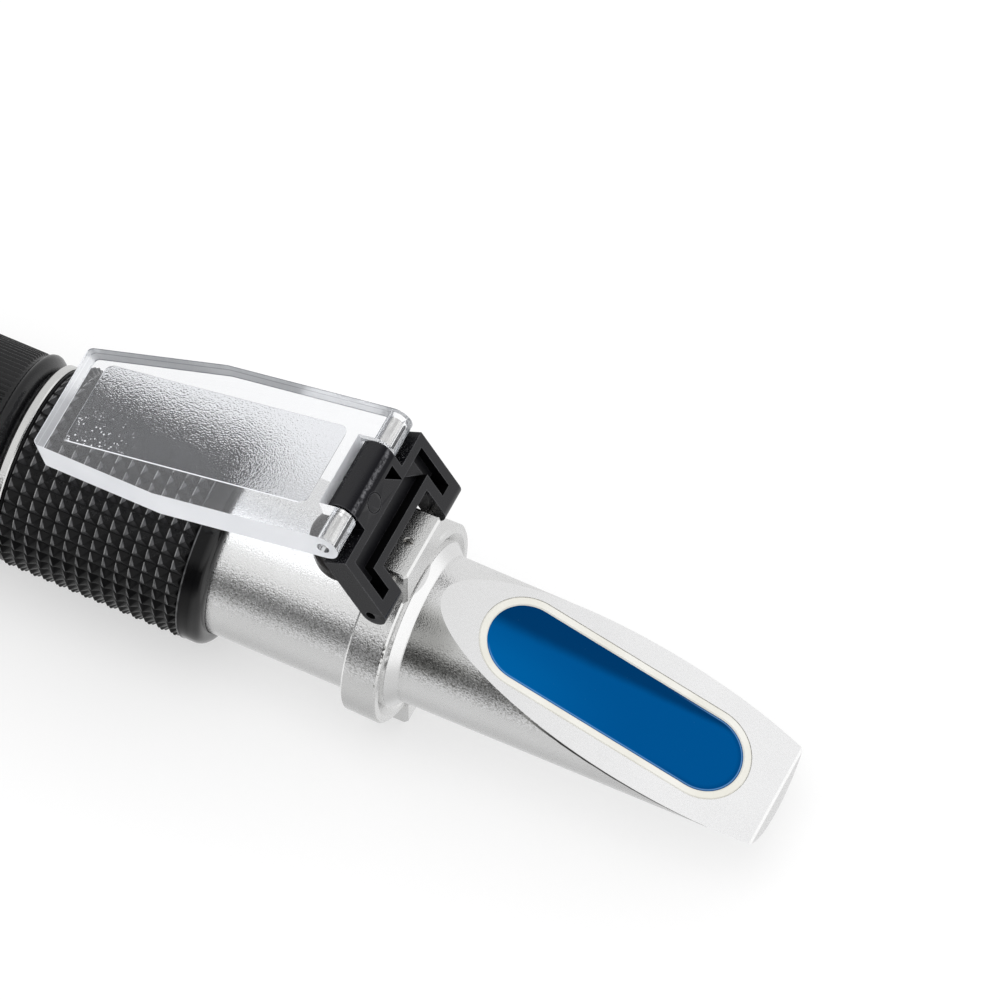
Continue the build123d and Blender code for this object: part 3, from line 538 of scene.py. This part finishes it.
def acrylic(name, frosted=False):
    """Clear or frosted plate with a painted highlight along the step at the recess's near edge.
    """
    mat = material(name)
    if frosted:
        cells = mat.voronoi(scale=3300.0)
        grain = mat.noise(scale=4000.0, detail=1.0)
        normal = mat.bump(cells * 0.6 + grain * 0.7, strength=1.0, depth=0.00012)
        body = mat.bsdf(color=(0.70, 0.715, 0.755), transmission=1.0, ior=1.46,
                        rough=mat.ramp(grain, to=(0.06, 0.16)), normal=normal)
    else:
        waves = mat.noise(scale=110.0)
        normal = mat.bump(waves, strength=0.08, depth=0.0002)
        body = mat.bsdf(color=(0.95, 0.955, 0.965), transmission=1.0, ior=1.49,
                        rough=mat.ramp(waves, to=(0.0, 0.02)), normal=normal)
    y = mat.xyz()[1]
    # painted highlight: a white line along the step at the recess's near edge
    top = mat.ramp(mat.distance(PLATE_NORMAL, HINGE), over=(0.00235, 0.00245))
    along = mat.distance(PLATE_ALONG, HINGE)
    line = mat.fall(abs(y + 0.00755), over=(0.00012, 0.0002))
    span = mat.window(along, rise=(0.0055, 0.0065), fall=(0.0465, 0.0475))
    white = top * line * span * 0.85
    if frosted:
        # painted glints in the near outer corner of the field
        frost_glints = mat.fall(mat.voronoi(scale=1900.0), over=(0.26, 0.38))
        some = mat.ramp(mat.noise(scale=1400.0, detail=1.0), over=(0.47, 0.53))
        corner = mat.ramp(along, over=(0.032, 0.044), smooth=True)
        corner = corner * mat.ramp(y, over=(0.002, -0.006), smooth=True)
        white = mat.max(white, frost_glints * some * (corner * 0.8))
    haze = 0.035 if frosted else 0.03
    white = mat.max(white, haze)
    diffuse = mat.add("BsdfDiffuse", {0: (0.95, 0.96, 1.0)})
    return mat.finish(light_pass(mat, mat.mix_shader(white, body, diffuse)))


def acrylic_edge(name, rim_painted_light, lines=None):
    """Moulded rim of the plate: clear, with painted light as diffuse white where it catches
    light, so that it reads milky.
    """
    mat = material(name)
    waves = mat.noise(scale=90.0)
    body = mat.bsdf(color=(0.98, 0.985, 1.0), transmission=1.0, ior=1.49,
                    rough=mat.ramp(waves, to=(0.15, 0.25)),
                    normal=mat.bump(waves, strength=0.1, depth=0.0002))
    colour = mat.mix(waves, (0.90, 0.92, 0.97), (0.97, 0.98, 1.0))
    white = mat.ramp(waves, to=rim_painted_light)
    if lines:
        # painted light and shade: fine lines where the rim meets the two faces, dark on the far
        # rim and bright on the end rim, and a faint parting line between them
        height = mat.distance(PLATE_NORMAL, HINGE)
        marks = mat.max(mat.ramp(height, over=(0.00225, 0.00240)),
                        mat.fall(height, over=(-0.00205, -0.00190)))
        parting = mat.fall(abs(height - 0.0006), over=(0.00015, 0.00028)) * 0.6
        marks = mat.max(marks, parting)
        if lines == "dark":
            colour = mat.mix(marks, colour, (0.27, 0.29, 0.32))
        white = mat.max(white, marks * 0.8)
    diffuse = mat.add("BsdfDiffuse", {0: colour})
    surface = mat.mix_shader(white, body, diffuse)
    return mat.finish(light_pass(mat, surface, tint=(0.95, 0.96, 0.98)))


def lens_glass():
    mat = material("lens_glass")
    waves = mat.noise(scale=50.0)
    body = mat.bsdf(color=(0.93, 0.97, 0.98), transmission=1.0, ior=1.52,
                    rough=mat.ramp(waves, to=(0.0, 0.015)), coat=0.4, coat_rough=0.02)
    return mat.finish(light_pass(mat, body))


def reticle_glass():
    """Ground-glass scale plate with fine divisions and no figures."""
    mat = material("reticle_glass")
    _, y, z = mat.xyz()
    divisions_per_metre = 1600.0
    step = mat.math("FRACT", z * divisions_per_metre)
    line = mat.fall(step, over=(0.10, 0.16)) * mat.fall(abs(y), over=(0.0016, 0.0018))
    colour = mat.mix(line, (0.95, 0.98, 0.98), (0.02, 0.02, 0.03))
    body = mat.bsdf(color=colour, transmission=1.0 - line, ior=1.5, rough=0.03)
    return mat.finish(light_pass(mat, body))


# ------------------------------------------------------------------ materials on the CAD nodes
MATERIALS = {
    # the shoulder tones scale the painted light on the round parts' near shoulder
    "nose": aluminium("alu_nose", base=0.83, shoulder_painted_tone=1.05, extra=nose_tone, nose=True),
    "tube": aluminium("alu_tube", base=0.82, shoulder_painted_tone=1.22),
    "collar": aluminium("alu_collar", base=0.76, shoulder_painted_tone=1.2, extra=collar_tone),
    "ring": aluminium("alu_ring", base=0.66, rough=0.22, grain=5200.0, bump=0.4,
                      depth=0.00004, speck=0.03),
    "steel": steel(),
    "brass": grained_metal("turned_brass", dark=(0.62, 0.43, 0.15), light=(0.75, 0.55, 0.24),
                           rough=(0.24, 0.38), bump=0.1),
    "black": grained_metal("black_anodised", dark=(0.010, 0.010, 0.011),
                           light=(0.022, 0.022, 0.024), rough=(0.42, 0.58), metallic=0.3,
                           bump=0.15),
    "bimetal": grained_metal("bimetal", dark=(0.55, 0.45, 0.33), light=(0.66, 0.58, 0.46),
                             rough=(0.28, 0.4), scale=1800.0),
    "grip": grip_rubber(),
    "sleeve": rubber("sleeve_rubber", dark=(0.0035, 0.0035, 0.004), light=(0.009, 0.009, 0.010),
                     rough=0.22, bump=0.2, spec=0.36),
    "eyecup": rubber("eyecup_rubber", dark=(0.012, 0.012, 0.012), light=(0.022, 0.022, 0.023),
                     rough=0.5, bump=0.25, spec=0.4),
    "cap": rubber("cap_rubber", dark=(0.010, 0.009, 0.009), light=(0.020, 0.018, 0.017),
                  rough=0.26, bump=0.1, spec=0.55),
    "o_ring": rubber("o_ring_rubber", dark=(0.01, 0.01, 0.01), light=(0.02, 0.02, 0.02),
                     rough=0.3, bump=0.1),
    "plastic": plastic("bracket_plastic", dark=(0.0045, 0.0045, 0.0058),
                       light=(0.0095, 0.0095, 0.0125), rough=0.27, spec=0.235, barrel=True),
    # painted shade: darker materials for the bracket's pockets
    "pocket_floor": plastic("bracket_pocket_floor", dark=(0.006, 0.006, 0.008),
                            light=(0.012, 0.012, 0.015), rough=0.40, spec=0.30),
    "pocket_wall": rubber("bracket_pocket_wall", dark=(0.0008, 0.0008, 0.0010),
                          light=(0.0020, 0.0020, 0.0024), rough=0.5, bump=0.1, spec=0.12,
                          scale=2200.0),
    "prism": prism_blue(),
    "seal": seal(),
    "lens": lens_glass(),
    "reticle": reticle_glass(),
    "acrylic": acrylic("acrylic_clear"),
    "frost": acrylic("acrylic_frosted", frosted=True),
    # the rims' painted light
    "edge": acrylic_edge("acrylic_edge", rim_painted_light=(0.70, 0.80)),
    "edge_far": acrylic_edge("acrylic_edge_far", rim_painted_light=(0.42, 0.58), lines="dark"),
    "edge_end": acrylic_edge("acrylic_edge_end", rim_painted_light=(0.30, 0.42), lines="bright"),
}

# material: the CAD nodes that wear it
WEARERS = {
    "nose": "prism_housing",
    "tube": "main_tube",
    "collar": "hinge_collar",
    "ring": "lock_ring",
    "steel": "collar_set_screws pivot_grub_screw bracket_pivot_pin hinge_pin "
             "calibration_screw strip_screw cradle_spring focus_pin",
    "brass": "screw_bush",
    "black": "light_baffle reticle_cell reticle_retainer lens_cradle objective_cell "
             "objective_retainer focus_core ocular_barrel lens_spacer ocular_retainer",
    "bimetal": "bimetal_strip",
    "grip": "grip_sleeve",
    "sleeve": "focus_sleeve",
    "eyecup": "eyecup",
    "cap": "calibration_cap",
    "o_ring": "focus_o_ring",
    "plastic": "bracket",
    "prism": "prism",
    "seal": "prism_seal",
    "lens": "objective_lens field_lens eye_lens",
    "reticle": "reticle",
    "acrylic": "daylight_plate",
}
WORN = {node: MATERIALS[key] for key, names in WEARERS.items() for node in names.split()}
for name, node in NODES.items():
    node.data.materials.clear()
    node.data.materials.append(WORN[name])


# ------------------------------------------------------------------ softened CAD edges
def modify(target, name, kind, **settings):
    modifier = target.modifiers.new(name, kind)
    for key, value in settings.items():
        setattr(modifier, key, value)


def shade_smooth(mesh):
    mesh.polygons.foreach_set("use_smooth", [True] * len(mesh.polygons))


def soften(name, width):
    """Small rounded edges on a CAD node, so that edges catch the light."""
    target = NODES[name]
    modify(target, "weld", "WELD", merge_threshold=2e-6)
    modify(target, "edge", "BEVEL", width=width, segments=2, limit_method="ANGLE",
           angle_limit=math.radians(30.0), use_clamp_overlap=True)
    modify(target, "normals", "WEIGHTED_NORMAL", keep_sharp=False, weight=50)
    shade_smooth(target.data)


EDGE_WIDTHS = {  # metres
    "bracket": 0.00013,
    "calibration_screw": 0.00006,
    "eyecup": 0.0004,
    "calibration_cap": 0.00012,
}
for name, width in EDGE_WIDTHS.items():
    soften(name, width)


# ------------------------------------------------------------------ faces with other finishes
def paint_faces(name, extra_materials, choose):
    """Adds slots after the first and gives each face the slot that `choose` names, if any."""
    mesh = NODES[name].data
    for key in extra_materials:
        mesh.materials.append(MATERIALS[key])
    for polygon in mesh.polygons:
        key = choose(polygon)
        if key:
            polygon.material_index = 1 + extra_materials.index(key)


def bracket_finish(polygon):
    """Painted shade: the bracket's pockets and pivot bore get darker materials than its outside.
    Limits are in millimetres.
    """
    place = (polygon.center - Vector(PIVOT)) / MM
    side = abs(place.y)
    height = place.dot(Vector(BRACKET_UP))
    forward = place.dot(Vector(BRACKET_FRONT))
    flat = polygon.normal.dot(Vector(BRACKET_FRONT)) > 0.9
    web = side < 11.33 and 6.87 < height < 10.83
    leg = 9.17 < side < 11.33 and 1.87 < height < 6.93
    far_pocket = 2.1 < place.y < 4.95 and 10.85 < height < 14.3
    if (web or leg) and -1.0 < forward < 2.57:
        if flat and abs(forward - 0.87) < 0.04:
            return "pocket_floor"
        front_face = flat and forward > 1.6
        return None if front_face else "pocket_wall"
    in_far_pocket = far_pocket and -0.2 < forward < 2.57
    in_pivot_bore = math.hypot(height, forward) < 0.85
    return "pocket_wall" if in_far_pocket or in_pivot_bore else None


def plate_finish(polygon):
    """Frosted field on the plate's upper face, rims with painted light around it. Limits are in
    metres.
    """
    place = polygon.center - Vector(HINGE)
    along = place.dot(Vector(PLATE_ALONG))
    height = place.dot(Vector(PLATE_NORMAL))
    y = place.y
    normal = polygon.normal
    normal_along = normal.dot(Vector(PLATE_ALONG))
    if abs(normal.dot(Vector(PLATE_NORMAL))) > 0.9:
        field = 0.0023 < height < 0.00262 and 0.0045 < along < 0.048 and abs(y) < 0.0078
        return "frost" if field else None
    if y < -0.009 and normal.y < -0.3:
        return "edge"
    if y > 0.009 and normal.y > 0.3:
        return "edge_far"
    if along > 0.05 and normal_along > 0.5:
        return "edge_end"
    # wall of the notch at the hinge
    notch = normal_along < -0.9 and 0.0025 < along < 0.0035 and abs(y) < 0.0068
    return "edge" if notch else None


paint_faces("bracket", ["pocket_wall", "pocket_floor"], bracket_finish)
paint_faces("daylight_plate", ["frost", "edge", "edge_far", "edge_end"], plate_finish)


# ------------------------------------------------------------------ built pieces
def link_object(name, data):
    made = bpy.data.objects.new(name, data)
    bpy.context.scene.collection.objects.link(made)
    return made


def mesh_object(name, verts, faces, mat):
    mesh = bpy.data.meshes.new(name)
    mesh.from_pydata(verts, [], faces)
    work = bmesh.new()
    work.from_mesh(mesh)
    bmesh.ops.recalc_face_normals(work, faces=work.faces)
    work.to_mesh(mesh)
    work.free()
    shade_smooth(mesh)
    mesh.materials.append(mat)
    return link_object(name, mesh)


def ring_point(x, radius, angle):
    """A point in metres; the angle runs from -Y towards +Z."""
    return (x * MM, -radius * math.cos(angle) * MM, radius * math.sin(angle) * MM)


def lathe(profile, segments, radius=None):
    """Closed ring of (x, r) points turned about X; radius(point, segment, r) may change r."""
    verts = []
    faces = []
    count = len(profile)
    for k in range(segments):
        angle = 2 * math.pi * k / segments
        for i, (x, r) in enumerate(profile):
            verts.append(ring_point(x, radius(i, k, r) if radius else r, angle))
    for k in range(segments):
        here = k * count
        after = (k + 1) % segments * count
        for i in range(count):
            j = (i + 1) % count
            faces.append((here + i, after + i, after + j, here + j))
    return verts, faces


def arc(x, r, radius, start, end, steps):
    """Points on an arc about (x, r), with its angles in degrees."""
    angles = [math.radians(start + (end - start) * i / steps) for i in range(steps + 1)]
    return [(x + radius * math.cos(a), r + radius * math.sin(a)) for a in angles]


# Grip profile, (x, r) in millimetres, from the eyepiece end to the rounded front bead
GRIP_FLOOR_R = GROOVE_R - 0.03
GRIP_PROFILE = [
    (42.07, 13.70), (42.07, 15.55), (42.22, 15.80), (42.42, 15.80), (42.50, GRIP_FLOOR_R),
    (KNURL_X1, GRIP_FLOOR_R), (73.14, 15.80), (73.24, 16.02), (73.42, 16.08), (73.60, 15.98),
    (73.80, 15.93), (74.4, 15.97), (75.3, 15.97),
    *arc(x=75.45, r=14.30, radius=1.66, start=88, end=5, steps=9),
    (77.13, 14.2), (77.15, 13.70),
]
# One pyramid across its pitch: (fraction of the pitch, height as 0 or 1)
PYRAMID = [(0.04, 0.0), (0.465, 1.0), (0.535, 1.0), (0.96, 0.0)]


def pyramid_skin(first):
    """Rows of square pyramids; `first` is the index of the skin's first vertex."""
    length = KNURL_X1 - KNURL_X0
    rows = [(KNURL_X1 - length * (i + t) / KNURL_ROWS, high)
            for i in range(KNURL_ROWS) for t, high in PYRAMID]
    columns = [((k + t) / KNURL_AROUND, high) for k in range(KNURL_AROUND) for t, high in PYRAMID]
    heights = [[min(row_high, high) for _, high in columns] for _, row_high in rows]
    verts = []
    for (x, _), row_heights in zip(rows, heights):
        for (t, _), high in zip(columns, row_heights):
            r = GROOVE_R + (CREST_R - GROOVE_R) * high
            angle = KNURL_START + 2 * math.pi * t
            # scaled before the turn, unlike in ring_point
            verts.append((x * MM, -(r * MM) * math.cos(angle), (r * MM) * math.sin(angle)))
    faces = []
    count = len(columns)
    for i in range(len(rows) - 1):
        for k in range(count):
            corners = [(i, k), (i, (k + 1) % count), (i + 1, (k + 1) % count), (i + 1, k)]
            quad = [first + row * count + column for row, column in corners]
            raised = [heights[row][column] for row, column in corners]
            if raised.count(1.0) == 1:
                # split a pyramid's corner along its ridge
                j = raised.index(1.0)
                quad = quad[j:] + quad[:j]
                faces.append((quad[0], quad[1], quad[2]))
                faces.append((quad[0], quad[2], quad[3]))
            else:
                faces.append(tuple(quad))
    return verts, faces


def build_grip():
    """Moulded sleeve with a smooth front bead and square pyramids in rows."""
    verts, faces = lathe(GRIP_PROFILE, segments=len(PYRAMID) * KNURL_AROUND)
    skin_verts, skin_faces = pyramid_skin(first=len(verts))
    grip = mesh_object("knurled_grip", verts + skin_verts, faces + skin_faces, MATERIALS["grip"])
    modify(grip, "edge", "BEVEL", width=0.00005, segments=1, limit_method="ANGLE",
           angle_limit=math.radians(28))
    modify(grip, "normals", "WEIGHTED_NORMAL", weight=50)
    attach(grip, "body")
    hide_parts("grip_sleeve")


# Focusing sleeve profile, (x, r) in millimetres, ending in a raised front bead
FOCUS_PROFILE = [
    (9.58, 14.66), (9.58, 15.60), (9.75, 15.85), (10.2, 15.90), (10.45, 16.18), (36.30, 16.18),
    (36.55, 15.90), (36.9, 15.86), (37.15, 15.95), (37.35, 16.25), (37.6, 16.50),
    (37.95, 16.58), (38.3, 16.50), (38.65, 16.25), (39.1, 15.85), (39.5, 15.3), (39.7, 14.9),
    (39.72, 14.66),
]
RIBBED_POINTS = (4, 5)  # the two profile points that carry the ribs
RIBS = 96
RIB_SEGMENTS = 6
RIB_FOOT_R = 15.78
RIB_HEIGHT = 0.42


def rib_radius(point, segment, r):
    if point not in RIBBED_POINTS:
        return r
    phase = (segment % RIB_SEGMENTS) / RIB_SEGMENTS
    wave = 0.5 - 0.5 * math.cos(2 * math.pi * phase)
    # the wave's foot and crest are cut flat
    return RIB_FOOT_R + RIB_HEIGHT * min(1.0, max(0.0, (wave - 0.18) / 0.6))


def build_focus_sleeve():
    """Focusing sleeve with fine lengthwise ribs."""
    verts, faces = lathe(FOCUS_PROFILE, segments=RIBS * RIB_SEGMENTS, radius=rib_radius)
    sleeve = mesh_object("ribbed_focus_sleeve", verts, faces, MATERIALS["sleeve"])
    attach(sleeve, "focus_ring")
    modify(sleeve, "normals", "WEIGHTED_NORMAL", weight=50)
    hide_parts("focus_sleeve")


def build_spring():
    """Cradle spring: a steel copy of the CAD spring, put in its place."""
    spring = link_object("spring_coil", NODES["cradle_spring"].data.copy())
    mesh = spring.data
    mesh.materials.clear()
    mesh.materials.append(MATERIALS["steel"])
    mesh.polygons.foreach_set("material_index", [0] * len(mesh.polygons))
    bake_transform(spring)
    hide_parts("cradle_spring")


build_grip()
build_focus_sleeve()
build_spring()


# ------------------------------------------------------------------ stage, light, camera
def build_floor():
    bpy.ops.mesh.primitive_plane_add(size=6.0, location=(0.1, 0.0, -0.02045))
    floor = bpy.context.object
    floor.name = "floor"
    mat = material("pale_floor")
    colour = mat.mix(mat.noise(scale=6.0), (0.50, 0.50, 0.50), (0.52, 0.52, 0.52))
    floor.data.materials.append(mat.finish(mat.bsdf(
        color=colour, rough=0.9, spec=0.05, emission=(1.0, 1.0, 1.0), emit=0.50)))
    floor.visible_glossy = False  # reflections come from the studio surround


def build_world():
    """Grey studio surround, its brightness worked out from the direction looked in."""
    world = bpy.data.worlds.new("studio")
    bpy.context.scene.world = world
    sky = Graph(world, "OutputWorld")
    x, y, z = sky.xyz(Value(sky, sky.coords.outputs["Generated"]))

    def step(value, start, end):
        return sky.ramp(value, over=(start, end), smooth=True)

    # near side: bright above and below a dark horizon; far side: evenly bright
    upper = step(z, start=0.30, end=0.52)
    lower = step(z, start=0.06, end=-0.34)
    near = 0.07 + (upper * 0.90 + lower * 0.66)
    far = step(y, start=-0.12, end=0.38)
    glow = near * (1.0 - far) + far * 0.86
    # slightly darker straight below, on the near side
    glow = glow * (1.0 - step(z, start=-0.75, end=-0.95) * (step(y, start=0.12, end=-0.1) * 0.20))
    # bright +X end, dimmed on its near, lower and upper flanks
    flank = step(x, start=0.80, end=0.72) * sky.max(
        step(y, start=-0.05, end=-0.40) * 0.52,
        step(z, start=-0.1, end=-0.6) * step(y, start=0.3, end=0.0) * 0.60)
    upper_flank = step(z, start=0.25, end=0.60) * step(y, start=0.35, end=0.10)
    flank = sky.max(flank, upper_flank * (step(x, start=0.80, end=0.72) * 0.36))
    glow = sky.max(glow, step(x, start=0.28, end=0.66) * ((1.0 - flank) * 1.22))
    # lift below the horizon at the -X end
    glow = glow + step(x, start=-0.35, end=-0.8) * lower * 0.45
    # the camera itself sees an even pale backdrop
    camera_ray = sky.add("LightPath", output="Is Camera Ray")
    glow = glow * (1.0 - camera_ray) + camera_ray * 0.93
    sky.finish(sky.add("Background", {"Color": glow, "Strength": 1.0}))


def build_softbox(name, place, target, size, power):
    """Rectangular light aimed at a target and left out of reflections."""
    light = bpy.data.lights.new(name, "AREA")
    light.shape = "RECTANGLE"
    light.size, light.size_y = size
    light.energy = power
    softbox = link_object(name, light)
    softbox.location = place
    aim = Vector(target) - Vector(place)
    softbox.rotation_euler = aim.to_track_quat("-Z", "Y").to_euler()
    softbox.visible_glossy = False


# The camera's pose: the turn from the scene's axes to the camera's, as an axis whose length is
# the angle in radians, and where the target lies: across, up (millimetres) and distance away
VIEW_TURN = Vector((-0.5435781, -0.1207807, -0.4415229))
TARGET_ACROSS = -10.356942
TARGET_UP = -19.605641
TARGET_AWAY = 1800.0
TARGET = Vector((0.109, 0, 0))


def build_camera():
    turn = Matrix.Rotation(VIEW_TURN.length, 3, VIEW_TURN.normalized()).transposed()
    offset = turn @ Vector((-TARGET_ACROSS, -TARGET_UP, TARGET_AWAY))
    data = bpy.data.cameras.new("camera")
    data.sensor_width = 36.0
    data.lens = 425.23
    data.clip_end = 20.0
    camera = link_object("camera", data)
    camera.matrix_world = Matrix.Translation(offset * MM + TARGET) @ turn.to_4x4()
    bpy.context.scene.camera = camera


build_floor()
build_world()
build_softbox("key_softbox", place=(0.0, -0.25, 0.95), target=(0.1, 0, 0), size=(0.9, 0.7),
              power=2.2)
build_softbox("back_softbox", place=(-0.2, 0.8, 0.7), target=(0.1, 0, 0), size=(0.8, 0.5),
              power=1.0)
build_camera()

view = bpy.context.scene.view_settings
view.view_transform = "Standard"
view.look = "None"
view.exposure = 0.0
view.gamma = 1.0
